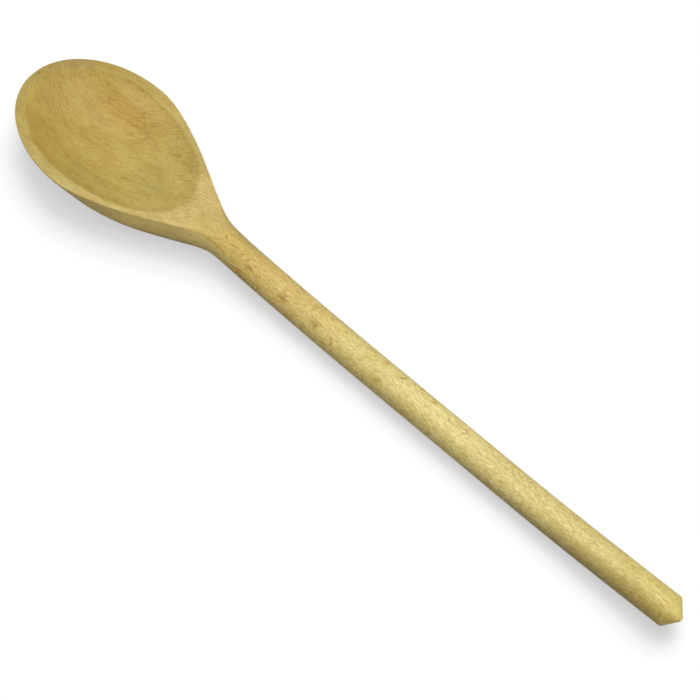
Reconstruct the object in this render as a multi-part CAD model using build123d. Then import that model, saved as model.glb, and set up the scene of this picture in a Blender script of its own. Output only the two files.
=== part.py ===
from build123d import *
import math
import os

# A wooden spoon, cut, hollowed and turned from one stick of beech, lying on its back.
# +X runs from the bowl's tip to the handle's end, +Z is up, and z = 0 is the table.
# Stations along the spoon are counted from the bowl's tip. All sizes are in mm.
length = 350.0

# Rim: a flat face that is highest at the tip
rim_height = 18.35
rim_tilt = 0.75
rim_station = 45.0

# Bowl outline, seen from above
wide_station = 43.2
wide_half_width = 30.5
flank_station = 70.5
flank_half_width = 23.45
flank_slope = -0.4
throat_station = 99.5
throat_half_width = 9.25
throat_slope = -0.46

# Back of the bowl: a shallow dome that leaves a thin upright edge under the rim
keel_station = 46.0
edge_height = 1.15
dome_ratio = 1.13
back_edge_radius = 2.2
back_flattening = 12.3
flat_back_start = 50.0
flat_back_end = 84.0

# Hollow of the bowl: an egg-shaped scoop, longer towards the neck than towards the tip
hollow_station = 42.0
hollow_to_tip = 38.5
hollow_to_neck = 48.5
hollow_half_width = 25.8
hollow_depth = 9.0
hollow_ratio = 1.15

# Neck: slightly waisted, where the bowl's square edges round off into the handle
neck_start = 91.0
neck_end = 125.0
waist_station = 110.0
waist_half_width = 6.35
under_station = 110.0

# Handle: bends down from the neck, lies along the table, then lifts a little before its
# straight end
handle_radius = 6.85
neck_bend_radius = 950.0
low_station = 190.0
lift_station = 262.0
lift_radius = 835.0
straight_station = 318.0
cone_length = 5.5
tip_radius = 2.0
shoulder_radius = 0.8

# Sections that the bowl and neck are lofted through
tip_sections = 11
first_tip_turn = 4.0
flank_sections = range(48, 90, 6)
neck_sections = range(90, 125, 4)
top_points = 9
side_points = 33
largest_corner = 0.5


def ease(start, end, station):
    """0 before start, 1 after end, with a smooth step between."""
    t = min(max((station - start) / (end - start), 0.0), 1.0)
    return t * t * (3 - 2 * t)


def curve(station, knots):
    """Height of the smooth curve through knots of (station, value, slope)."""
    for (s0, v0, m0), (s1, v1, m1) in zip(knots[:-1], knots[1:]):
        if s0 <= station <= s1:
            h = s1 - s0
            t = (station - s0) / h
            rise = (3 * t**2 - 2 * t**3) * (v1 - v0)
            bend = (t**3 - 2 * t**2 + t) * h * m0 + (t**3 - t**2) * h * m1
            return v0 + rise + bend
    return knots[-1][1]


def cap(q, ratio):
    """A round cap's fall from its middle, 0, to its edge, 1. A larger ratio is a flatter cap."""
    return (ratio - math.sqrt(ratio**2 - q**2)) / (ratio - math.sqrt(ratio**2 - 1))


def rim_at(station):
    return rim_height - math.tan(math.radians(rim_tilt)) * (station - rim_station)


def bend_angle(station):
    """Downward slope of the handle's axis between the neck and the table, in radians."""
    return math.asin((low_station - station) / neck_bend_radius)


def axis_at(station):
    """Height of the handle's axis between the neck and the table."""
    return handle_radius + neck_bend_radius * (1 - math.cos(bend_angle(station)))


def half_width_at(station):
    if station < wide_station:
        return wide_half_width * math.sqrt(1 - (1 - station / wide_station) ** 2)
    knots = [
        (wide_station, wide_half_width, 0),
        (flank_station, flank_half_width, flank_slope),
        (throat_station, throat_half_width, throat_slope),
        (waist_station, waist_half_width, 0),
        (neck_end, handle_radius, 0),
    ]
    return curve(station, knots)


def keel_at(station):
    """Height of the underside above the table along the middle of the spoon."""
    if station < keel_station:
        return (rim_at(0) - edge_height) * cap(1 - station / keel_station, dome_ratio)
    if station < under_station:
        under = axis_at(under_station) - handle_radius
        slope = -math.tan(bend_angle(under_station))
        return curve(station, [(keel_station, 0, 0), (under_station, under, slope)])
    return axis_at(station) - handle_radius


def dome_radius(half_width, sag):
    return (half_width**2 + sag**2) / (2 * sag)


def along(path, count):
    """Evenly spaced points along a path of straight runs."""
    reach = [0.0]
    for (x0, y0), (x1, y1) in zip(path[:-1], path[1:]):
        reach.append(reach[-1] + math.hypot(x1 - x0, y1 - y0))
    points = []
    for k in range(count):
        want = reach[-1] * k / (count - 1)
        i = max(j for j in range(len(path) - 1) if reach[j] <= want or j == 0)
        t = (want - reach[i]) / max(reach[i + 1] - reach[i], 1e-9)
        (x0, y0), (x1, y1) = path[i], path[i + 1]
        points.append((x0 + (x1 - x0) * t, y0 + (y1 - y0) * t))
    return points


def round_path(centre, radius, start, end, steps=24):
    """Points on an arc. Angles in degrees, 0 to the side and -90 straight down."""
    points = []
    for k in range(steps + 1):
        a = math.radians(start + (end - start) * k / steps)
        points.append((centre[0] + radius * math.cos(a), centre[1] + radius * math.sin(a)))
    return points


def section_paths(station):
    """Half of the section's top, and half of its side and underside, as (y, z) paths."""
    blend = ease(neck_start, neck_end, station)
    half = half_width_at(station)
    low = keel_at(station)
    top = rim_at(station)
    if station > neck_start:
        top += (axis_at(station) + handle_radius - top) * blend
    shoulder = handle_radius * blend
    edge = back_edge_radius + (handle_radius - back_edge_radius) * blend
    sag = top - edge_height - low
    if station < wide_station:
        dome = dome_radius(half, sag)
        edge = min(edge, largest_corner * half, largest_corner * sag)
    else:
        dome = dome_radius(wide_half_width, rim_at(wide_station) - edge_height)
        dome += back_flattening * ease(flat_back_start, flat_back_end, station)
        dome += (handle_radius - dome) * blend
    reach = math.sqrt(max((dome - edge) ** 2 - (half - edge) ** 2, 0))
    edge_z = min(low + dome - reach, top - shoulder)
    turn = math.degrees(math.atan2(reach, half - edge))
    if blend == 1:
        turn = 90.0
    corner = (half - shoulder, top - shoulder)
    top_path = [(0, top)] + round_path(corner, shoulder, 90, 45)
    side_path = round_path(corner, shoulder, 45, 0)
    side_path += round_path((half - edge, edge_z), edge, 0, -turn)
    side_path += round_path((0, low + dome), dome, -turn, -90)
    return top_path, side_path


def spline(points):
    steps = [k / (len(points) - 1) for k in range(len(points))]
    return Edge.make_spline(points, parameters=steps)


def section_wire(station):
    """A section as two curves that meet on the bowl's upper edge."""
    top_path, side_path = section_paths(station)
    mirrored_top = [(-y, z) for y, z in reversed(top_path[1:])]
    mirrored_side = [(-y, z) for y, z in reversed(side_path[:-1])]
    tilt = 0.0
    pivot = 0.0
    if station > neck_start:
        tilt = bend_angle(neck_end) * ease(neck_start, neck_end, station)
        pivot = axis_at(station)

    def place(y, z):
        rise = z - pivot
        return (station + rise * math.sin(tilt), y, pivot + rise * math.cos(tilt))

    top_run = [place(y, z) for y, z in along(mirrored_top + top_path, top_points)]
    side_run = [place(y, z) for y, z in along(side_path + mirrored_side, side_points)]
    if station == neck_end:
        top = Edge.make_three_point_arc(top_run[0], place(*top_path[0]), top_run[-1])
        side = Edge.make_three_point_arc(side_run[0], place(*side_path[-1]), side_run[-1])
        return Wire([top, side])
    return Wire([spline(top_run), spline(side_run)])


def bowl_and_neck():
    stations = []
    for k in range(tip_sections):
        turn = math.radians(first_tip_turn + (90 - first_tip_turn) * k / (tip_sections - 1))
        stations.append(wide_station * (1 - math.cos(turn)))
    stations += [*flank_sections, *neck_sections, neck_end]
    return Solid.make_loft([section_wire(station) for station in stations])


def hollow_cutter():
    """Egg-shaped cutter. Its lowest cap is what it takes out of the bowl."""
    wide = hollow_half_width * hollow_ratio
    outline = EllipticalCenterArc((0, 0), hollow_to_neck * hollow_ratio, wide, 0, arc_size=90)
    outline += EllipticalCenterArc((0, 0), hollow_to_tip * hollow_ratio, wide, 90, arc_size=90)
    outline += Line((-hollow_to_tip * hollow_ratio, 0), (hollow_to_neck * hollow_ratio, 0))
    egg = revolve(make_face(outline), Axis.X)
    height = hollow_depth / (hollow_ratio - math.sqrt(hollow_ratio**2 - 1))
    egg = scale(egg, by=(1, 1, height / hollow_half_width))
    lift = height * math.sqrt(hollow_ratio**2 - 1)
    return Pos(hollow_station, 0, rim_at(hollow_station)) * Rot(0, rim_tilt, 0) * Pos(0, 0, lift) * egg


def handle_end(reach):
    """The handle's last straight run, along +X: a cylinder that ends in a blunt cone."""
    shoulder = reach - cone_length
    centre = reach - tip_radius
    to_centre = math.hypot(handle_radius, centre - shoulder)
    lean = math.atan2(handle_radius, centre - shoulder) - math.asin(tip_radius / to_centre)
    touch = (centre + tip_radius * math.sin(lean), tip_radius * math.cos(lean))
    middle = math.pi / 4 - lean / 2
    bulge = (centre + tip_radius * math.cos(middle), tip_radius * math.sin(middle))
    outline = Polyline((reach, 0), (0, 0), (0, handle_radius), (shoulder, handle_radius), touch)
    outline += ThreePointArc(touch, bulge, (reach, 0))
    end = revolve(make_face(outline), Axis.X)
    slack = 0.01
    ring = end.edges().filter_by_position(Axis.X, shoulder - slack, shoulder + slack)
    return fillet(ring, shoulder_radius)


def handle():
    """Bend from the neck, run along the table, slight lift and straight end."""
    flat = Plane((low_station, 0, handle_radius), x_dir=(0, 1, 0), z_dir=(1, 0, 0))
    ring = flat * Circle(handle_radius)
    bend_axis = Axis((low_station, 0, handle_radius + neck_bend_radius), (0, 1, 0))
    rod = revolve(ring, bend_axis, math.degrees(bend_angle(neck_end)))
    rod += extrude(ring, lift_station - low_station)
    lift_axis = Axis((lift_station, 0, handle_radius + lift_radius), (0, -1, 0))
    lift_turn = math.asin((straight_station - lift_station) / lift_radius)
    lift_ring = Pos(lift_station - low_station, 0, 0) * ring
    rod += revolve(lift_ring, lift_axis, math.degrees(lift_turn))
    rise = handle_radius + lift_radius * (1 - math.cos(lift_turn))
    end_place = Pos(straight_station, 0, rise) * Rot(0, -math.degrees(lift_turn), 0)
    rod += end_place * handle_end((length - straight_station) / math.cos(lift_turn))
    return rod


def spoon():
    body = bowl_and_neck() + handle() - hollow_cutter()
    box = body.bounding_box()
    return Pos(-box.center().X, 0, -box.min.Z) * body


os.makedirs("parts", exist_ok=True)
body = spoon()
print("volume", round(body.volume), "mm3, box", body.bounding_box())
export_step(body, "parts/spoon.step")
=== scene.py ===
import math
import bmesh
import bpy
from mathutils import Matrix, Vector, noise


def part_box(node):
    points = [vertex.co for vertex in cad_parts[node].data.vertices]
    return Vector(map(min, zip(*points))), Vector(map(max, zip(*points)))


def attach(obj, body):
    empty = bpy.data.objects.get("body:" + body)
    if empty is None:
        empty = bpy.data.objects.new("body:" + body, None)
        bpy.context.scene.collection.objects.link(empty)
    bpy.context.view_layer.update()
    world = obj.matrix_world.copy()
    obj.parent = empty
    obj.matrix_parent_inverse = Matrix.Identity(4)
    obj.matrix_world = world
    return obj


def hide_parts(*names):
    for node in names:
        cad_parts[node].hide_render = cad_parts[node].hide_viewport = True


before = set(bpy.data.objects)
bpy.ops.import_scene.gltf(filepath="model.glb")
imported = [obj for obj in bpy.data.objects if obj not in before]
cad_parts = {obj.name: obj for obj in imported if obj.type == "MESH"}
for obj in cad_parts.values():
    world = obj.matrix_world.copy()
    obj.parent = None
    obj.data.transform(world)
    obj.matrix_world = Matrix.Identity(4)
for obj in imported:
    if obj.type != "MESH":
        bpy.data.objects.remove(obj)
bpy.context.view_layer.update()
print("frame loaded:", list(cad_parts))
mm = 0.001

# The spoon, cut, hollowed and turned from one stick of beech. All in mm.
# Stations are counted from the bowl's tip along the spoon.
spoonSize = {
    "length": 350.0,
    "tipStation": 0.105,        # the tip's end is sanded flat by this much
    "rimHeight": 18.35,         # flat rim, highest at the tip
    "rimTilt": 0.75,            # degrees
    "rimStation": 45.0,
    "edgeEase": 0.4,            # sanded outer edge of the rim
    "wideStation": 43.2,        # bowl outline, seen from above
    "wideHalfWidth": 30.5,
    "outline": [(70.5, 23.45, -0.4), (99.5, 9.25, -0.46), (110.0, 6.35, 0.0)],
    "keelStation": 46.0,        # where the back of the bowl touches the table
    "edgeHeight": 1.15,         # upright edge under the rim
    "domeRatio": 1.13,
    "backEdge": 2.2,
    "backFlattening": (50.0, 84.0, 12.3),
    "hollowStation": 42.0,
    "hollowToTip": 38.5,
    "hollowToNeck": 48.5,
    "hollowHalfWidth": 25.8,
    "hollowDepth": 9.0,
    "hollowRatio": 1.15,
    "hollowEase": 0.35,         # the hollow's edge after sanding
    "neckStart": 91.0,
    "neckEnd": 125.0,
    "underStation": 110.0,
    "handleRadius": 6.85,
    "neckBend": 950.0,          # radius of the handle's bend down to the table
    "lowStation": 190.0,
    "liftStation": 262.0,
    "liftRadius": 835.0,
    "straightStation": 318.0,
    "coneLength": 5.5,
    "tipRadius": 2.0,
    "shoulderRadius": 0.8,
    "wander": 0.10,             # how far the sanded surface wanders from true
    "wanderLength": (46.0, 13.0, 13.0),
}

# How finely the mesh is cut
spoonMesh = {
    "tipSteps": 40,
    "flankStep": 1.2,
    "quarter": 16,              # steps in an eighth of the handle's circle
    "hollowRings": 34,
    "rimRings": 14,
    "neckStep": 1.0,
    "handleStep": 1.8,
    "keelStart": 9.0,
}


def ease(start, end, station):
    t = min(max((station - start) / (end - start), 0.0), 1.0)
    return t * t * (3 - 2 * t)


def curve(station, knots):  # smooth curve through knots of (station, value, slope)
    for (s0, v0, m0), (s1, v1, m1) in zip(knots[:-1], knots[1:]):
        if s0 <= station <= s1:
            h = s1 - s0
            t = (station - s0) / h
            rise = (3 * t**2 - 2 * t**3) * (v1 - v0)
            return v0 + rise + (t**3 - 2 * t**2 + t) * h * m0 + (t**3 - t**2) * h * m1
    return knots[-1][1]


def cap(q, ratio):  # fall of a round cap from its middle, 0, to its edge, 1
    return (ratio - math.sqrt(ratio**2 - q**2)) / (ratio - math.sqrt(ratio**2 - 1))


def rimAt(station):
    d = spoonSize
    return d["rimHeight"] - math.tan(math.radians(d["rimTilt"])) * (station - d["rimStation"])


def bendAngle(station):
    return math.asin((spoonSize["lowStation"] - station) / spoonSize["neckBend"])


def axisAt(station):
    return spoonSize["handleRadius"] + spoonSize["neckBend"] * (1 - math.cos(bendAngle(station)))


def halfWidthAt(station):
    d = spoonSize
    if station < d["wideStation"]:
        return d["wideHalfWidth"] * math.sqrt(1 - (1 - station / d["wideStation"]) ** 2)
    first = (d["wideStation"], d["wideHalfWidth"], 0)
    return curve(station, [first, *d["outline"], (d["neckEnd"], d["handleRadius"], 0)])


def keelAt(station):  # height of the underside along the middle
    d = spoonSize
    if station < d["keelStation"]:
        return (rimAt(0) - d["edgeHeight"]) * cap(1 - station / d["keelStation"], d["domeRatio"])
    if station < d["underStation"]:
        under = axisAt(d["underStation"]) - d["handleRadius"]
        slope = -math.tan(bendAngle(d["underStation"]))
        return curve(station, [(d["keelStation"], 0, 0), (d["underStation"], under, slope)])
    return axisAt(station) - d["handleRadius"]


def sectionAt(station):  # the outside of the spoon, cut across at a station
    d = spoonSize
    blend = ease(d["neckStart"], d["neckEnd"], station)
    half = halfWidthAt(station)
    low = keelAt(station)
    top = rimAt(station)
    if blend > 0:
        top += (axisAt(station) + d["handleRadius"] - top) * blend
    shoulder = d["edgeEase"] + (d["handleRadius"] - d["edgeEase"]) * blend
    corner = d["backEdge"] + (d["handleRadius"] - d["backEdge"]) * blend
    sag = max(top - d["edgeHeight"] - low, 1e-6)
    if station < d["wideStation"]:
        dome = (half**2 + sag**2) / (2 * sag)
        corner = min(corner, 0.5 * half, 0.5 * sag)
    else:
        drop = rimAt(d["wideStation"]) - d["edgeHeight"]
        dome = (d["wideHalfWidth"] ** 2 + drop**2) / (2 * drop)
        flatStart, flatEnd, flatter = d["backFlattening"]
        dome += flatter * ease(flatStart, flatEnd, station)
        dome += (d["handleRadius"] - dome) * blend
    reach = math.sqrt(max((dome - corner) ** 2 - (half - corner) ** 2, 0))
    cornerZ = min(low + dome - reach, top - shoulder)
    turn = math.atan2(reach, half - corner) if blend < 1 else math.pi / 2
    return dict(half=half, low=low, top=top, shoulder=shoulder, corner=corner,
                cornerZ=cornerZ, dome=dome, touch=dome * math.cos(turn))


def backHeight(station, y):  # underside of the bowl and neck
    cut = sectionAt(station)
    y = min(abs(y), cut["half"])
    if y < cut["touch"] or cut["corner"] < 1e-6:
        return cut["low"] + cut["dome"] - math.sqrt(max(cut["dome"] ** 2 - y**2, 0))
    side = y - (cut["half"] - cut["corner"])
    return cut["cornerZ"] - math.sqrt(max(cut["corner"] ** 2 - side**2, 0))


def hollowEdge(dx, dy):  # distance from the hollow's middle to its edge in a direction
    d = spoonSize
    run = d["hollowToNeck"] if dx > 0 else d["hollowToTip"]
    return 1 / math.hypot(dx / run, dy / d["hollowHalfWidth"])


def topHeight(station, y):  # rim and hollow, with the edge between them eased
    d = spoonSize
    dx = station - d["hollowStation"]
    far = math.hypot(dx, y)
    q = far / hollowEdge(dx / far, y / far) if far > 1e-6 else 0.0
    q = min(q, 1.12)
    dip = -d["hollowDepth"] * (1 - cap(q, d["hollowRatio"]))
    eased = (dip - math.hypot(dip, d["hollowEase"])) / 2
    return rimAt(station) + eased


def alongPath(path, shares):  # points at shares of a path's length
    reach = [0.0]
    for a, b in zip(path[:-1], path[1:]):
        reach.append(reach[-1] + math.dist(a, b))
    points = []
    for share in shares:
        want = share * reach[-1]
        i = max(j for j in range(len(path) - 1) if reach[j] <= want or j == 0)
        t = (want - reach[i]) / max(reach[i + 1] - reach[i], 1e-9)
        points.append(tuple(a + (b - a) * t for a, b in zip(path[i], path[i + 1])))
    return points


def arc(centre, radius, start, end, steps=16):  # degrees, 0 to the side and 90 up
    turns = [math.radians(start + (end - start) * k / steps) for k in range(steps + 1)]
    return [(centre[0] + radius * math.cos(t), centre[1] + radius * math.sin(t)) for t in turns]


def halfRing(station):  # (y, z) from the top's middle round one side to the keel
    d = spoonSize
    n = spoonMesh["quarter"]
    cut = sectionAt(station)
    blend = ease(d["neckStart"], d["neckEnd"], station)
    corner = (cut["half"] - cut["shoulder"], cut["top"] - cut["shoulder"])
    topPath = [(0.0, cut["top"])] + arc(corner, cut["shoulder"], 90, 45)
    crowd = 1.8 - 0.8 * blend   # points crowd at the sharp edge of the bowl
    topPoints = alongPath(topPath, [1 - (1 - k / n) ** crowd for k in range(n)])
    sidePath = arc(corner, cut["shoulder"], 45, 0) + [(cut["half"], cut["cornerZ"])]
    sidePoints = alongPath(sidePath, [k / n for k in range(n)])
    backPoints = []
    for k in range(2 * n + 1):
        y = cut["half"] * math.cos(math.pi / 2 * k / (2 * n))
        backPoints.append((y, backHeight(station, y)))
    return topPoints + sidePoints + backPoints


def wholeRing(points):  # the half ring and its mirror image, as one loop
    return points + [(-y, z) for y, z in reversed(points[1:-1])]


def outlinePoints():  # (station, half width, direction out of the edge) from tip to neck
    d = spoonSize
    rows = []
    steps = spoonMesh["tipSteps"]
    for k in range(steps + 1):
        turn = math.pi / 2 * k / steps
        station = d["wideStation"] - (d["wideStation"] - d["tipStation"]) * math.cos(turn)
        half = halfWidthAt(station) if k else 0.0
        out = Vector((-math.cos(turn) * d["wideHalfWidth"], math.sin(turn) * d["wideStation"]))
        rows.append((station, half, out.normalized()))
    count = round((d["neckStart"] - d["wideStation"]) / spoonMesh["flankStep"])
    for k in range(1, count + 1):
        station = d["wideStation"] + (d["neckStart"] - d["wideStation"]) * k / count
        rows.append((station, halfWidthAt(station), Vector((0, 1))))
    return rows


def edgePoint(row, degrees):  # on the eased outer edge, from 90 on the rim to 0 on the side
    station, half, out = row
    r = spoonSize["edgeEase"]
    turn = math.radians(degrees)
    inset = r * (1 - math.cos(turn))
    x = station - out.x * inset
    y = half - out.y * inset
    return (x, y, rimAt(station) - r + r * math.sin(turn))


def edgeDrop(station, y):  # how far the eased outer edge falls below the rim
    r = spoonSize["edgeEase"]
    over = min(max(abs(y) - halfWidthAt(station) + r, 0.0), r)
    return r - math.sqrt(r**2 - over**2)


def topRows(rows):  # rings from the hollow's middle to the rim's outer edge and the neck
    d = spoonSize
    m = spoonMesh
    across = halfRing(d["neckStart"])[: m["quarter"]]
    lines = [(edgePoint(row, 90), [edgePoint(row, 90 - 15 * k) for k in (1, 2, 3)]) for row in rows[:-1]]
    for y, z in [edgePoint(rows[-1], 45)[1:], *reversed(across)]:
        back = (Vector((d["hollowStation"], 0)) - Vector((d["neckStart"], y))).normalized()
        tail = []
        for step in (0.45, 0.3, 0.15):
            x, side = d["neckStart"] + back.x * step, y + back.y * step
            tail.append((x, side, topHeight(x, side) - edgeDrop(x, side)))
        lines.append((tail[0], tail[1:] + [(d["neckStart"], y, z)]))
    mirrored = []
    for start, tail in reversed(lines[1:-1]):
        mirrored.append(((start[0], -start[1], start[2]), [(p[0], -p[1], p[2]) for p in tail]))
    loops = []
    for start, tail in lines + mirrored:
        dx, dy = start[0] - d["hollowStation"], start[1]
        far = math.hypot(dx, dy)
        edge = hollowEdge(dx / far, dy / far)
        reaches = [edge * math.sin(math.pi / 2 * k / m["hollowRings"]) for k in range(m["hollowRings"] + 1)]
        for k in range(1, m["rimRings"] + 1):
            reaches.append(edge + (far - edge) * (k / m["rimRings"]) ** 1.4)
        line = []
        for reach in reaches:
            x = d["hollowStation"] + dx / far * reach
            y = dy / far * reach
            line.append((x, y, topHeight(x, y)))
        loops.append(line + [tuple(p) for p in tail])
    return loops


def sideColumns(rows):  # from the rim's outer edge down the side and along the back to the keel
    m = spoonMesh
    n = m["quarter"]
    columns = []
    for i, row in enumerate(rows):
        station, half, out = row
        cut = sectionAt(station)
        edge = [edgePoint(row, 45 - 45 * k / n) for k in range(n + 1)]
        path = edge + [(station, half, cut["cornerZ"])]
        column = alongPath(path, [k / n for k in range(n)])
        keel = station
        if i < m["tipSteps"]:
            keel = m["keelStart"] + (spoonSize["wideStation"] - m["keelStart"]) * i / m["tipSteps"]
        for k in range(2 * n + 1):
            t = math.cos(math.pi / 2 * k / (2 * n))
            x = keel + (station - keel) * t
            y = half * t
            column.append((x, y, backHeight(x, y)))
        columns.append(column)
    return columns


def handleRings():  # closed rings from the neck to the handle's end
    d = spoonSize
    m = spoonMesh
    rings = []
    count = round((d["neckEnd"] - d["neckStart"]) / m["neckStep"])
    for k in range(count + 1):
        station = d["neckStart"] + (d["neckEnd"] - d["neckStart"]) * k / count
        tilt = bendAngle(d["neckEnd"]) * ease(d["neckStart"], d["neckEnd"], station)
        pivot = axisAt(station)
        ring = []
        for y, z in wholeRing(halfRing(station)):
            ring.append((station + (z - pivot) * math.sin(tilt), y, pivot + (z - pivot) * math.cos(tilt)))
        rings.append(ring)
    for x, z, slope, radius in handleStations():
        ring = []
        for k in range(8 * m["quarter"]):
            turn = math.pi / 2 - 2 * math.pi * k / (8 * m["quarter"])
            up = radius * math.sin(turn)
            ring.append((x - up * math.sin(slope), radius * math.cos(turn), z + up * math.cos(slope)))
        rings.append(ring)
    return rings


def handleStations():  # (x, z, upward slope, radius) along the handle's axis
    d = spoonSize
    r = d["handleRadius"]
    step = spoonMesh["handleStep"]
    stations = []
    count = round((d["lowStation"] - d["neckEnd"]) / step)
    for k in range(1, count + 1):
        station = d["neckEnd"] + (d["lowStation"] - d["neckEnd"]) * k / count
        stations.append((station, axisAt(station), -bendAngle(station), r))
    count = round((d["liftStation"] - d["lowStation"]) / step)
    for k in range(1, count + 1):
        stations.append((d["lowStation"] + (d["liftStation"] - d["lowStation"]) * k / count, r, 0.0, r))
    lift = math.asin((d["straightStation"] - d["liftStation"]) / d["liftRadius"])
    count = round((d["straightStation"] - d["liftStation"]) / step)
    for k in range(1, count + 1):
        turn = lift * k / count
        x = d["liftStation"] + d["liftRadius"] * math.sin(turn)
        stations.append((x, r + d["liftRadius"] * (1 - math.cos(turn)), turn, r))
    x0, z0 = stations[-1][:2]
    for reach, radius in endProfile((d["length"] - d["straightStation"]) / math.cos(lift)):
        stations.append((x0 + reach * math.cos(lift), z0 + reach * math.sin(lift), lift, radius))
    return stations


def endProfile(reach):  # (distance along, radius) of the straight end, its blunt cone and its tip
    d = spoonSize
    r, tip, soft = d["handleRadius"], d["tipRadius"], d["shoulderRadius"]
    shoulder = reach - d["coneLength"]
    centre = reach - tip
    lean = math.atan2(r, centre - shoulder) - math.asin(tip / math.hypot(r, centre - shoulder))
    trim = soft * math.tan(lean / 2)
    count = round((shoulder - trim) / spoonMesh["handleStep"])
    profile = [((shoulder - trim) * k / count, r) for k in range(1, count + 1)]
    for k in range(1, 7):
        turn = lean * k / 6
        profile.append((shoulder - trim + soft * math.sin(turn), r - soft * (1 - math.cos(turn))))
    touch = (centre + tip * math.sin(lean), tip * math.cos(lean))
    a, b = profile[-1]
    for k in range(1, 15):
        profile.append((a + (touch[0] - a) * k / 14, b + (touch[1] - b) * k / 14))
    for k in range(1, 7):
        turn = math.pi / 2 - lean
        turn *= 1 - k / 6
        profile.append((centre + tip * math.cos(turn), tip * math.sin(turn)))
    return profile


def addGrid(mesh, rows, closed=False):  # quads between neighbouring rows of points
    made = [[mesh.verts.new(p) for p in row] for row in rows]
    for a, b in zip(made[:-1], made[1:]):
        last = len(a) if closed else len(a) - 1
        for k in range(last):
            nxt = (k + 1) % len(a)
            mesh.faces.new((a[k], b[k], b[nxt], a[nxt]))


def wanderSurface(mesh):  # the sander never leaves a true surface, it only takes a little more away
    mesh.normal_update()
    lengths = spoonSize["wanderLength"]
    for v in mesh.verts:
        wave = noise.noise(Vector([c / length for c, length in zip(v.co, lengths)]))
        v.co -= v.normal * spoonSize["wander"] * (0.5 + 0.5 * max(min(wave, 1), -1))


def buildSpoon():
    mesh = bmesh.new()
    rows = outlinePoints()
    lines = topRows(rows)
    addGrid(mesh, [list(ring) for ring in zip(*lines)], closed=True)
    columns = sideColumns(rows)
    addGrid(mesh, columns)
    addGrid(mesh, [[(x, -y, z) for x, y, z in column] for column in columns])
    addGrid(mesh, handleRings(), closed=True)
    bmesh.ops.remove_doubles(mesh, verts=mesh.verts, dist=0.0003)
    bmesh.ops.recalc_face_normals(mesh, faces=mesh.faces)
    wanderSurface(mesh)
    shift = spoonSize["length"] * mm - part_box("spoon")[1][0]
    bmesh.ops.scale(mesh, vec=(mm, mm, mm), verts=mesh.verts)
    bmesh.ops.translate(mesh, vec=(-shift, 0, 0), verts=mesh.verts)
    data = bpy.data.meshes.new("beech_spoon")
    mesh.to_mesh(data)
    openEdges = sum(len(e.link_faces) != 2 for e in mesh.edges)
    print("spoon mesh:", len(mesh.verts), "points,", len(mesh.faces), "faces,", openEdges, "open edges")
    mesh.free()
    data.shade_smooth()
    spoon = bpy.data.objects.new("beech_spoon", data)
    bpy.context.scene.collection.objects.link(spoon)
    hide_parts("spoon")
    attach(spoon, "root")
    return spoon


def linearColour(hexCode):  # sRGB hex to linear, with alpha
    parts = [int(hexCode[i:i + 2], 16) / 255 for i in (1, 3, 5)]
    return [p / 12.92 if p < 0.04045 else ((p + 0.055) / 1.055) ** 2.4 for p in parts] + [1.0]


# Adds a node. A value in inputs is either a number or colour, or the output it is linked to.
def addNode(tree, kind, inputs=None, **settings):
    node = tree.nodes.new(kind)
    for name, value in settings.items():
        setattr(node, name, value)
    for socket, value in (inputs or {}).items():
        if isinstance(value, bpy.types.NodeSocket):
            tree.links.new(value, node.inputs[socket])
        else:
            node.inputs[socket].default_value = value
    return node


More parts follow.
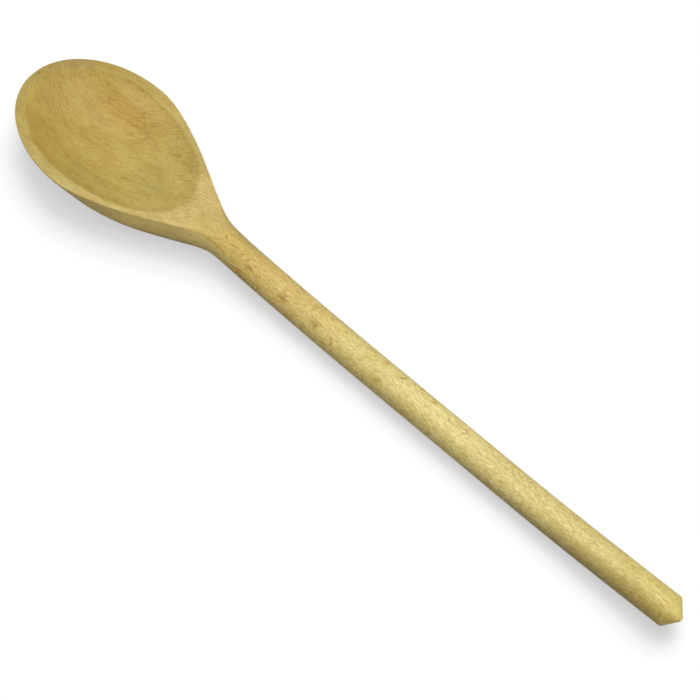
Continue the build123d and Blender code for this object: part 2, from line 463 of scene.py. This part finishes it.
# Sanded, unvarnished beech: a matt yellow-tan wood with cloudy tone, very fine grain along the
# spoon and the small brown dashes of its rays.
beechLook = {
    # the wood's palest tone along the spoon, from the bowl's tip to the handle's end
    "along": [(0.0, "#d6bd6a"), (0.16, "#d8c476"), (0.26, "#deca83"), (0.33, "#dcc26f"), (0.42, "#e6ce83"),
              (0.52, "#eedd93"), (0.64, "#fbeda6"), (0.82, "#f4e59f"), (0.91, "#f1e299"), (1.0, "#eedc88")],
    "darkTone": "#cdbb8d",                # the grain's darkest tone, over the palest
    "hollowTint": "#efebd6",              # the scraped hollow is a little deeper in colour
    "fleck": "#ad8a55",
    "ringMark": "#d6b87e",
    "paleFleck": "#f8e8a8",
    "cloudLength": (26.0, 8.0, 8.0),      # mm
    "figureLength": (7.0, 3.5, 3.5),      # slanted bands across the handle
    "figureSlant": 1.1,
    "fibreLength": (9.0, 0.6, 0.6),       # real fibres are 0.02 mm wide, drawn coarser to show
    "grainLength": (2.0, 0.38, 0.38),
    "leafSlant": 0.35,                    # mm across for each mm along the bowl
    "leafLean": 0.4,                      # mm across for each mm of height
    "leafBendStart": -125.0,
    "leafBend": 0.0075,
    "leafHeight": 4.0,
    "fleckLength": (3.6, 1.15, 1.15),
    "fleckSize": 0.24,
    "dashSize": 0.36,
    "paleLength": (4.5, 0.8, 0.8),        # pale flecks along the turned handle
    "paleSize": 0.3,
    "dashLength": (8.5, 0.9, 0.9),        # longer dashes that crowd on the hollow's far side
    "dashPlace": ((-132.0, 17.0, 14.0), (44.0, 13.0, 12.0)),
    "ringLength": (15.0, 7.0, 7.0),       # curved marks where the lathe cut across the rings
    "ior": 1.53,
    "specular": 0.3,                      # open wood pores scatter most of the shine
    "roughness": 0.56,
    # (where, centre and reach in mm, blend, tint, strength) of patches in the wood: wood tone and small brown marks,
    # and painted light and shade where marked
    "patches": [
        ("hollow", (-136.0, 15.0, 12.0), (26.0, 12.0, 9.0), "MULTIPLY", "#fff5ea", 1.0),
        # painted shade: the hollow's near wall darker, in an olive tone and a grey
        ("hollow", (-152.0, -16.0, 13.0), (22.0, 9.0, 8.0), "MULTIPLY", "#e6dcae", 0.4),
        ("hollow", (-138.0, -17.0, 12.0), (34.0, 12.0, 9.0), "MULTIPLY", "#f1f1ec", 1.0),
        ("hollow", (-103.0, -2.0, 13.0), (13.0, 10.0, 8.0), "MULTIPLY", "#edf0f0", 1.0),
        # painted shade: the hollow's wall at the tip darker
        ("hollow", (-168.0, 0.0, 15.0), (22.0, 26.0, 10.0), "MULTIPLY", "#f0f0f0", 1.0),
        ("hollow", (-130.0, 23.0, 16.0), (28.0, 5.0, 5.0), "MIX", "#dabb74", 0.6),
        ("rim", (-148.0, 26.0, 18.0), (30.0, 15.0, 12.0), "MULTIPLY", "#e3dfca", 1.0),
        ("rim", (-175.0, -4.0, 18.0), (17.0, 22.0, 12.0), "MULTIPLY", "#d9dbd2", 1.0),
        ("rim", (-167.0, 15.0, 18.0), (14.0, 14.0, 12.0), "MULTIPLY", "#dcdcdf", 1.0),
        ("rim", (-146.0, -23.0, 18.0), (48.0, 20.0, 8.0), "MULTIPLY", "#ebeff0", 1.0),
        ("rim", (-100.0, 20.0, 18.0), (24.0, 10.0, 8.0), "MULTIPLY", "#e8e8de", 1.0),
        # painted shade: the bowl's near side darker low down
        ("rim", (-127.0, -29.0, 10.0), (20.0, 9.0, 7.0), "MULTIPLY", "#cccac6", 1.0),
        # painted light: the neck's near flank made paler, as if more brightly lit
        ("side", (-90.0, -16.0, 15.5), (50.0, 16.0, 9.0), "MIX", "#ead27c", 0.95),
        ("side", (-68.0, -7.5, 13.0), (22.0, 6.0, 6.5), "MIX", "#ffe690", 1.0),
        # painted shade: the handle's near and lower side darker along its length and at its end
        ("rim", (136.0, -8.0, 5.0), (78.0, 7.5, 8.0), "MULTIPLY", "#b6b2a4", 1.0),
        ("rim", (60.0, -6.5, 10.5), (110.0, 4.5, 7.0), "MULTIPLY", "#ece9e0", 1.0),
        ("rim", (155.0, -6.5, 13.0), (55.0, 6.0, 7.0), "MULTIPLY", "#d2cbba", 1.0),
        ("rim", (170.0, -4.0, 12.5), (7.0, 4.0, 4.5), "MULTIPLY", "#d8c49e", 0.2),
        # painted shade: the neck's far top edge greyer, where it turns away from the light
        ("rim", (-76.0, 4.0, 17.0), (16.0, 5.0, 6.0), "MULTIPLY", "#e6e8e2", 0.3),
        ("rim", (-60.0, 4.5, 15.0), (18.0, 4.0, 6.0), "MULTIPLY", "#dde6f2", 0.8),
        # painted shade: the near side of the bowl and neck darker low down
        ("rim", (-95.0, -19.0, 4.5), (58.0, 22.0, 6.0), "MULTIPLY", "#ccc8bc", 1.0),
        # painted highlight: a small pale spot on the shoulder of the handle's end
        ("rim", (163.9, -1.3, 16.5), (1.5, 0.6, 2.5), "MIX", "#fdf0bc", 0.6),
        # small brown marks
        ("rim", (-70.5, -3.2, 15.0), (3.0, 1.3, 3.5), "MULTIPLY", "#ccba80", 0.7),
        ("rim", (-46.6, -3.5, 14.0), (3.4, 1.3, 3.5), "MULTIPLY", "#ccba80", 0.4),
        ("rim", (-34.6, -4.5, 9.0), (3.0, 2.2, 2.5), "MULTIPLY", "#d4b68c", 0.7),
        ("rim", (-27.8, -4.0, 13.0), (3.6, 1.3, 3.5), "MULTIPLY", "#ccba80", 0.8),
        ("rim", (-10.9, -3.3, 12.0), (3.2, 1.6, 3.5), "MULTIPLY", "#ccba80", 0.8),
        ("rim", (24.0, -4.4, 11.0), (3.6, 1.4, 3.0), "MULTIPLY", "#ccba80", 0.8),
    ],
}


def sandedBeech():
    look = beechLook
    material = bpy.data.materials.new("sanded_beech")
    material.use_nodes = True
    tree = material.node_tree
    tree.nodes.clear()
    coordinates = addNode(tree, "ShaderNodeTexCoord").outputs
    place = addNode(tree, "ShaderNodeVectorMath", {0: coordinates["Object"], "Scale": 1 / mm},
                    operation="SCALE").outputs[0]

    # the grain isn't quite straight
    sway = addNode(tree, "ShaderNodeTexNoise", {"Vector": place, "Scale": 1 / 55, "Detail": 1.0})
    sway = addNode(tree, "ShaderNodeVectorMath", {0: sway.outputs["Color"], 1: (0.5, 0.5, 0.5)},
                   operation="SUBTRACT").outputs[0]
    grainPlace = addNode(tree, "ShaderNodeVectorMath", {0: sway, 1: (0.0, 9.0, 9.0), 2: place},
                         operation="MULTIPLY_ADD").outputs[0]

    def calc(operation, *values):
        return addNode(tree, "ShaderNodeMath", dict(enumerate(values)), operation=operation).outputs[0]

    axes = addNode(tree, "ShaderNodeSeparateXYZ", {0: place}).outputs
    x, y, z = axes[0], axes[1], axes[2]
    onHandle = addNode(tree, "ShaderNodeMapRange", {"Value": x, "From Min": -80.0, "From Max": -60.0}).outputs[0]
    facing = addNode(tree, "ShaderNodeSeparateXYZ", {0: coordinates["Normal"]}).outputs[2]
    bowlTop = addNode(tree, "ShaderNodeMapRange", {"Value": facing, "From Min": 0.3, "From Max": 0.6}).outputs[0]
    bowlTop = calc("MULTIPLY", bowlTop, calc("SUBTRACT", 1.0, onHandle))

    # on top of the bowl it lies in leaves that run at a slant to the spoon, bend towards the tip and lean over
    bend = calc("MINIMUM", calc("SUBTRACT", x, look["leafBendStart"]), 0.0)
    bend = calc("MULTIPLY", calc("MULTIPLY", bend, bend), -look["leafBend"])
    lean = calc("MULTIPLY_ADD", z, -look["leafLean"], calc("MULTIPLY_ADD", x, -look["leafSlant"], bend))
    lean = addNode(tree, "ShaderNodeCombineXYZ", {1: lean}).outputs[0]
    bowlPlace = addNode(tree, "ShaderNodeVectorMath", {0: grainPlace, 1: lean}, operation="ADD").outputs[0]

    def scaled(lengths, shift=(0, 0, 0), start=grainPlace):
        inverse = tuple(1 / length for length in lengths)
        return addNode(tree, "ShaderNodeVectorMath", {0: start, 1: inverse, 2: shift},
                       operation="MULTIPLY_ADD").outputs[0]

    def noiseAt(lengths, detail=3.0, shift=(0, 0, 0), start=grainPlace):
        return addNode(tree, "ShaderNodeTexNoise", {"Vector": scaled(lengths, shift, start), "Scale": 1.0,
                                                    "Detail": detail, "Roughness": 0.6}).outputs["Fac"]

    def leaves(lengths):  # the same pattern as long as a leaf is high
        return (lengths[0], lengths[1], look["leafHeight"])

    def bothWays(inBowl, along):
        return addNode(tree, "ShaderNodeMix", {0: bowlTop, 2: along, 3: inBowl}, data_type="FLOAT").outputs[0]

    def tinted(colour, share, tint, blend="MULTIPLY"):
        return addNode(tree, "ShaderNodeMix", {0: share, 6: colour, 7: linearColour(tint)}, data_type="RGBA",
                       blend_type=blend).outputs[2]

    clouds = noiseAt(look["cloudLength"])
    fibres = bothWays(noiseAt(leaves(look["fibreLength"]), start=bowlPlace), noiseAt(look["fibreLength"]))
    grain = bothWays(noiseAt(leaves(look["grainLength"]), 2.0, start=bowlPlace), noiseAt(look["grainLength"], 2.0))
    slanted = addNode(tree, "ShaderNodeCombineXYZ", {0: calc("MULTIPLY", y, look["figureSlant"])}).outputs[0]
    slanted = addNode(tree, "ShaderNodeVectorMath", {0: grainPlace, 1: slanted}, operation="ADD").outputs[0]
    inverse = tuple(1 / length for length in look["figureLength"])
    slanted = addNode(tree, "ShaderNodeVectorMath", {0: slanted, 1: inverse}, operation="MULTIPLY").outputs[0]
    figure = addNode(tree, "ShaderNodeTexNoise", {"Vector": slanted, "Scale": 1.0, "Detail": 2.0}).outputs["Fac"]

    # tone along the spoon
    half = spoonSize["length"] / 2
    along = addNode(tree, "ShaderNodeMapRange", {"Value": x, "From Min": -half, "From Max": half}).outputs[0]
    ramp = addNode(tree, "ShaderNodeValToRGB", {"Fac": along})
    elements = ramp.color_ramp.elements
    while len(elements) < len(look["along"]):
        elements.new(0.5)
    for element, (position, colour) in zip(elements, look["along"]):
        element.position = position
        element.color = linearColour(colour)
    wood = ramp.outputs["Color"]

    # the turned handle shows its grain more than the scraped bowl, and its end less again
    crisp = addNode(tree, "ShaderNodeMapRange", {"Value": x, "From Min": -92.0, "From Max": -30.0,
                                                 "To Min": 1.3, "To Max": 2.8}).outputs[0]
    plain = addNode(tree, "ShaderNodeMapRange", {"Value": x, "From Min": 80.0, "From Max": 150.0,
                                                 "To Min": 1.0, "To Max": 0.85}).outputs[0]
    crisp = calc("MULTIPLY", crisp, plain)
    quiet = addNode(tree, "ShaderNodeMapRange", {"Value": x, "From Min": -90.0, "From Max": -50.0,
                                                 "To Min": 1.0, "To Max": 0.6}).outputs[0]
    tone = calc("MULTIPLY", calc("SUBTRACT", grain, 0.5), crisp)
    tone = calc("MULTIPLY_ADD", calc("SUBTRACT", fibres, 0.5), 1.1, tone)
    for pattern, weight in ((clouds, 1.1), (figure, 0.45)):
        tone = calc("MULTIPLY_ADD", calc("SUBTRACT", pattern, 0.5), calc("MULTIPLY", quiet, weight), tone)
    wood = tinted(wood, addNode(tree, "ShaderNodeClamp", {0: calc("ADD", tone, 0.45)}).outputs[0], look["darkTone"])

    # the hollow, seen from above, and only its upper side
    run = calc("SUBTRACT", x, spoonSize["hollowStation"] - half)
    run = calc("ADD", calc("DIVIDE", calc("MAXIMUM", run, 0.0), spoonSize["hollowToNeck"]),
                calc("DIVIDE", calc("MINIMUM", run, 0.0), spoonSize["hollowToTip"]))
    across = calc("DIVIDE", y, spoonSize["hollowHalfWidth"])
    inside = calc("SQRT", calc("ADD", calc("MULTIPLY", run, run), calc("MULTIPLY", across, across)))
    inside = addNode(tree, "ShaderNodeMapRange", {"Value": inside, "From Min": 1.0, "From Max": 0.97}).outputs[0]
    inside = calc("MULTIPLY", inside, calc("GREATER_THAN", facing, 0.0))
    wood = tinted(wood, inside, look["hollowTint"])

    side = addNode(tree, "ShaderNodeMapRange", {"Value": facing, "From Min": 0.5, "From Max": 0.2}).outputs[0]
    zones = {"hollow": inside, "rim": calc("SUBTRACT", 1.0, inside), "side": side}

    def shareNear(centre, reach, most=1.0):  # most at the centre, fading out at the reach
        away = addNode(tree, "ShaderNodeVectorMath", {0: place, 1: centre}, operation="SUBTRACT").outputs[0]
        away = addNode(tree, "ShaderNodeVectorMath", {0: away, 1: reach}, operation="DIVIDE").outputs[0]
        away = addNode(tree, "ShaderNodeVectorMath", {0: away}, operation="LENGTH").outputs["Value"]
        away = calc("MULTIPLY_ADD", fibres, 0.8, away)
        return addNode(tree, "ShaderNodeMapRange", {"Value": away, "From Min": 1.5, "From Max": 0.5, "To Min": 0.0,
                                                    "To Max": most}, interpolation_type="SMOOTHSTEP").outputs[0]

    for where, centre, reach, blend, tint, strength in look["patches"]:
        wood = tinted(wood, calc("MULTIPLY", shareNear(centre, reach, strength), zones[where]), tint, blend)
    grainShare = addNode(tree, "ShaderNodeClamp", {0: calc("MULTIPLY", tone, side)}).outputs[0]
    wood = tinted(wood, grainShare, look["darkTone"])    # the sides show the grain over their patches

    def specks(lengths, size, most, start=grainPlace):  # small brown dashes, each of its own depth
        cells = addNode(tree, "ShaderNodeTexVoronoi", {"Vector": scaled(lengths, start=start), "Scale": 1.0}).outputs
        speck = addNode(tree, "ShaderNodeMapRange", {"Value": cells["Distance"], "From Min": size,
                                                     "From Max": 0.05}).outputs[0]
        pick = addNode(tree, "ShaderNodeSeparateColor", {"Color": cells["Color"]}).outputs[0]
        return calc("MULTIPLY", speck, calc("MULTIPLY", pick, most))

    fleckShare = bothWays(specks(look["fleckLength"], look["fleckSize"], 0.8, bowlPlace),
                          specks(look["fleckLength"], look["fleckSize"], 0.8))
    dashes = specks(look["dashLength"], look["dashSize"], 0.9, bowlPlace)
    dashes = calc("MULTIPLY", dashes, shareNear(*look["dashPlace"]))
    fleckShare = addNode(tree, "ShaderNodeClamp", {0: calc("ADD", fleckShare, dashes)}).outputs[0]
    wood = tinted(wood, fleckShare, look["fleck"])

    paleShare = calc("MULTIPLY", specks(look["paleLength"], look["paleSize"], 0.5), onHandle)
    wood = tinted(wood, paleShare, look["paleFleck"], "MIX")

    # part of each ring round a cell's middle, on the handle only
    rings = addNode(tree, "ShaderNodeTexVoronoi", {"Vector": scaled(look["ringLength"]), "Scale": 1.0}).outputs["Distance"]
    rings = calc("ABSOLUTE", calc("SUBTRACT", rings, 0.34))
    rings = addNode(tree, "ShaderNodeMapRange", {"Value": rings, "From Min": 0.06, "From Max": 0.0}).outputs[0]
    broken = addNode(tree, "ShaderNodeMapRange", {"Value": noiseAt((5.0, 3.0, 3.0), 1.0, (7.0, 3.0, 1.0)),
                                                  "From Min": 0.5, "From Max": 0.62}).outputs[0]
    turned = addNode(tree, "ShaderNodeMapRange", {"Value": x, "From Min": 120.0, "From Max": 60.0}).outputs[0]
    turned = calc("MULTIPLY", turned, onHandle)
    wood = tinted(wood, calc("MULTIPLY", calc("MULTIPLY", rings, broken), turned), look["ringMark"])

    relief = calc("MULTIPLY_ADD", fleckShare, -0.5, fibres)
    bump = addNode(tree, "ShaderNodeBump", {"Height": relief, "Strength": 0.35, "Distance": 0.05 * mm})
    gloss = addNode(tree, "ShaderNodeMapRange", {"Value": clouds, "To Min": look["roughness"] - 0.07,
                                                 "To Max": look["roughness"] + 0.07})
    shader = addNode(tree, "ShaderNodeBsdfPrincipled", {"Base Color": wood, "IOR": look["ior"],
                                                        "Specular IOR Level": look["specular"],
                                                        "Roughness": gloss.outputs[0], "Normal": bump.outputs[0]})
    addNode(tree, "ShaderNodeOutputMaterial", {"Surface": shader.outputs[0]})
    return material


# White table that keeps the spoon's shadow. A broad softbox hangs over the spoon, and a second
# one, behind it to the right, lights only the table and gives its soft shadow.
studio = {
    "floorSize": 6.0,
    "floorColour": "#606060",     # what the spoon gets back from the table
    "floorSeen": 0.43,            # share of the light that the camera sees come back from it
    "floorGlow": 0.56,            # share of plain white in what the camera sees of it
    "worldStrength": 0.2,
    "boxStrength": 2.4,
    "boxTilt": 0.0,               # degrees from straight overhead
    "boxHeading": 60.0,           # degrees, from the right of the picture towards its back
    "boxWidth": 50.0,             # degrees across
    "sideStrength": 0.94,         # low light along the spoon from the handle's end
    "sideTilt": 80.0,
    "sideHeading": -48.0,
    "sideWidth": 40.0,
    "shadowStrength": 5.2,
    "shadowTilt": 29.0,
    "shadowHeading": 71.0,
    "shadowWidth": 44.0,
}

# The camera looks down at the table from the front, with the spoon turned across its view
cameraView = {
    "aim": (2.24 * mm, 3.0 * mm, 0.0),
    "distance": 1.1144,
    "heading": 44.036,      # degrees between the picture's right and the spoon's length
    "elevation": 59.474,
    "roll": -0.096,
    "lens": 145.56,
}


def whiteToCamera(tree, lit, white):  # white where the camera, a reflection or glass sees it
    rays = addNode(tree, "ShaderNodeLightPath").outputs
    seen = addNode(tree, "ShaderNodeMath", {0: rays["Is Camera Ray"], 1: rays["Is Glossy Ray"]}, operation="MAXIMUM")
    seen = addNode(tree, "ShaderNodeMath", {0: seen.outputs[0], 1: rays["Is Transmission Ray"]}, operation="MAXIMUM")
    return addNode(tree, "ShaderNodeMixShader", {0: seen.outputs[0], 1: lit, 2: white}).outputs[0]


def addLamp(name, strength, tilt, heading, width):
    turn = math.radians(cameraView["heading"] + heading)
    tilt = math.radians(tilt)
    towards = Vector((math.cos(turn) * math.sin(tilt), math.sin(turn) * math.sin(tilt), math.cos(tilt)))
    data = bpy.data.lights.new(name, "SUN")
    data.energy = strength
    data.angle = math.radians(width)
    lamp = bpy.data.objects.new(name, data)
    lamp.rotation_euler = towards.to_track_quat("Z", "Y").to_euler()
    bpy.context.scene.collection.objects.link(lamp)
    return lamp


def buildStudio():
    scene = bpy.context.scene
    half = studio["floorSize"] / 2
    data = bpy.data.meshes.new("table")
    data.from_pydata([(-half, -half, 0), (half, -half, 0), (half, half, 0), (-half, half, 0)], [], [(0, 1, 2, 3)])
    table = bpy.data.objects.new("table", data)
    lit = bpy.data.collections.new("table_light")
    lit.objects.link(table)
    scene.collection.children.link(lit)
    paint = bpy.data.materials.new("matt_white_table")
    paint.use_nodes = True
    tree = paint.node_tree
    tree.nodes.clear()
    seen = studio["floorSeen"]
    dull = addNode(tree, "ShaderNodeBsdfDiffuse", {"Color": linearColour(studio["floorColour"])}).outputs[0]
    white = addNode(tree, "ShaderNodeBsdfDiffuse", {"Color": (seen, seen, seen, 1.0)}).outputs[0]
    glow = addNode(tree, "ShaderNodeEmission", {"Color": (1.0, 1.0, 1.0, 1.0), "Strength": 1.0}).outputs[0]
    white = addNode(tree, "ShaderNodeMixShader", {0: studio["floorGlow"], 1: white, 2: glow}).outputs[0]
    addNode(tree, "ShaderNodeOutputMaterial", {"Surface": whiteToCamera(tree, dull, white)})
    data.materials.append(paint)

    world = bpy.data.worlds.new("studio")
    scene.world = world
    world.use_nodes = True
    tree = world.node_tree
    tree.nodes.clear()
    dull = addNode(tree, "ShaderNodeBackground", {"Strength": studio["worldStrength"]}).outputs[0]
    white = addNode(tree, "ShaderNodeBackground", {"Color": (1.0, 1.0, 1.0, 1.0), "Strength": 1.0}).outputs[0]
    addNode(tree, "ShaderNodeOutputWorld", {"Surface": whiteToCamera(tree, dull, white)})

    addLamp("softbox", studio["boxStrength"], studio["boxTilt"], studio["boxHeading"], studio["boxWidth"])
    addLamp("side_softbox", studio["sideStrength"], studio["sideTilt"], studio["sideHeading"], studio["sideWidth"])
    shadowLamp = addLamp("table_softbox", studio["shadowStrength"], studio["shadowTilt"],
                         studio["shadowHeading"], studio["shadowWidth"])
    shadowLamp.light_linking.receiver_collection = lit


def buildCamera():
    scene = bpy.context.scene
    turn = math.radians(cameraView["heading"])
    rise = math.radians(cameraView["elevation"])
    front = Vector((math.sin(turn), -math.cos(turn), 0))
    away = front * math.cos(rise) + Vector((0, 0, math.sin(rise)))
    data = bpy.data.cameras.new("camera")
    data.lens = cameraView["lens"]
    data.sensor_width = 36.0
    data.clip_start = 0.05
    data.clip_end = 50.0
    camera = bpy.data.objects.new("camera", data)
    facing = away.to_track_quat("Z", "Y").to_matrix().to_4x4()
    facing = facing @ Matrix.Rotation(math.radians(cameraView["roll"]), 4, "Z")
    camera.matrix_world = Matrix.Translation(Vector(cameraView["aim"]) + away * cameraView["distance"]) @ facing
    scene.collection.objects.link(camera)
    scene.camera = camera


spoon = buildSpoon()
spoon.data.materials.append(sandedBeech())
print("spoon built and finished")
buildStudio()
buildCamera()
bpy.context.scene.view_settings.view_transform = "Standard"
print("studio and camera placed")
